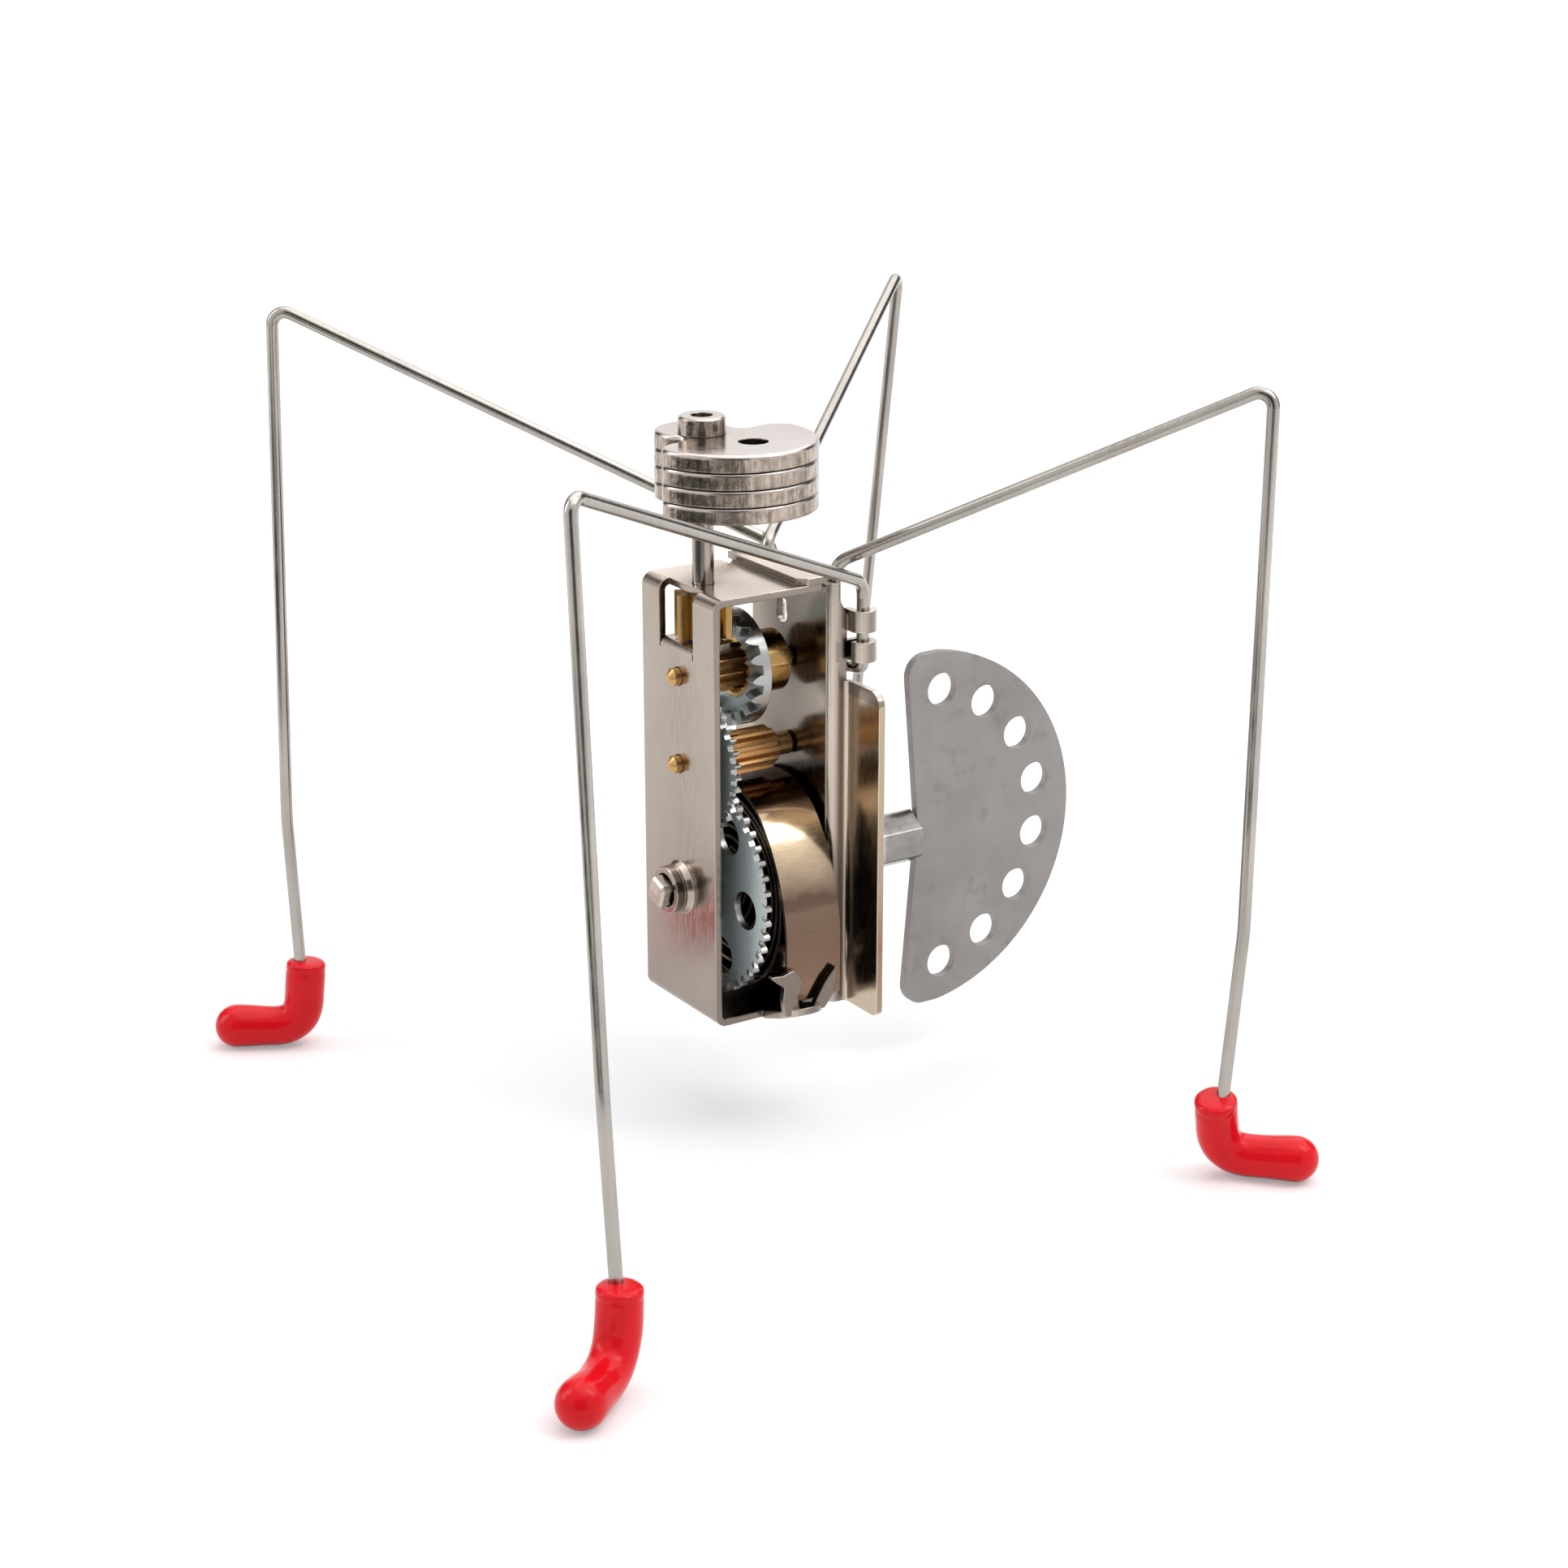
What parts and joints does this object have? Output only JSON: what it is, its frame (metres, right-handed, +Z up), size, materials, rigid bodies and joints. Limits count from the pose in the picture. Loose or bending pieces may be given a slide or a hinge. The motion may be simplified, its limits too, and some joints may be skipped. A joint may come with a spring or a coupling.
{
  "type": "wind-up walking toy",
  "caption": "Wind-up clockwork walking critter: folded steel frame with open gear train, upright eccentric rotor, half-disc key and bent wire legs with soft boots",
  "frame": {"origin": "middle of the footprint on the floor (centre of the bounding box, bottom)", "axes": "+Z up; +X from the front plate toward the winding key; +Y toward the left and back legs"},
  "size_m": [0.0976, 0.0988, 0.0813],
  "materials": {
    "frame_steel": "satin nickel plate on folded steel sheet",
    "wire_steel": "bright drawn wire",
    "nickel_steel": "nickel plate, rough sheared rims",
    "spring_steel": "blue-bronze tempered strip",
    "key_steel": "matte grey zinc plate",
    "arbor_steel": "turned steel",
    "ratchet_steel": "plain steel",
    "zinc_blue": "blue passivated zinc plate",
    "pinion_brass": "turned brass",
    "pinion_bronze": "turned bronze, oiled",
    "boot_vinyl": "glossy soft vinyl"
  },
  "bodies": {
    "chassis": {"frame": "frame_steel", "mainspring": "spring_steel", "near_leg_wire": "wire_steel", "far_leg_wire": "wire_steel", "boot_front": "boot_vinyl", "boot_left": "boot_vinyl", "boot_right": "boot_vinyl", "boot_back": "boot_vinyl"},
    "winding": {"winding_arbor": "arbor_steel", "ratchet_wheel": "ratchet_steel", "key_sleeve": "key_steel", "key_plate": "key_steel"},
    "great": {"main_gear": "zinc_blue", "click_spring": "ratchet_steel"},
    "second": {"second_pinion": "pinion_brass", "second_gear": "zinc_blue"},
    "crown": {"third_pinion": "pinion_bronze", "crown_wheel": "zinc_blue", "crown_hub": "pinion_brass"},
    "rotor": {"rotor_shaft": "nickel_steel", "rotor_pinion": "pinion_brass", "rotor_hub": "nickel_steel", "weight_plate_1": "nickel_steel", "weight_plate_2": "nickel_steel", "weight_plate_3": "nickel_steel", "weight_plate_4": "nickel_steel"}
  },
  "joints": [
    {"name": "rotor_spin", "type": "hinge", "parent": "chassis", "child": "rotor", "pos_m": [-0.00358, 0.00195, 0.06], "axis": [0, 0, 1], "continuous": true},
    {"name": "crown_spin", "type": "hinge", "parent": "chassis", "child": "crown", "pos_m": [-0.00063, 0.00195, 0.04815], "axis": [1, 0, 0], "continuous": true},
    {"name": "second_spin", "type": "hinge", "parent": "chassis", "child": "second", "pos_m": [-0.00063, 0.00195, 0.03895], "axis": [1, 0, 0], "continuous": true},
    {"name": "great_spin", "type": "hinge", "parent": "chassis", "child": "great", "pos_m": [-0.00328, 0.00195, 0.0257], "axis": [1, 0, 0], "continuous": true},
    {"name": "key_wind", "type": "hinge", "parent": "chassis", "child": "winding", "pos_m": [0.00337, 0.00195, 0.0257], "axis": [1, 0, 0], "continuous": true}
  ],
  "couplings": [
    {"joint": "crown_spin", "follows": "rotor_spin", "ratio": -0.44444},
    {"joint": "second_spin", "follows": "rotor_spin", "ratio": 0.12346},
    {"joint": "great_spin", "follows": "rotor_spin", "ratio": -0.021948}
  ]
}
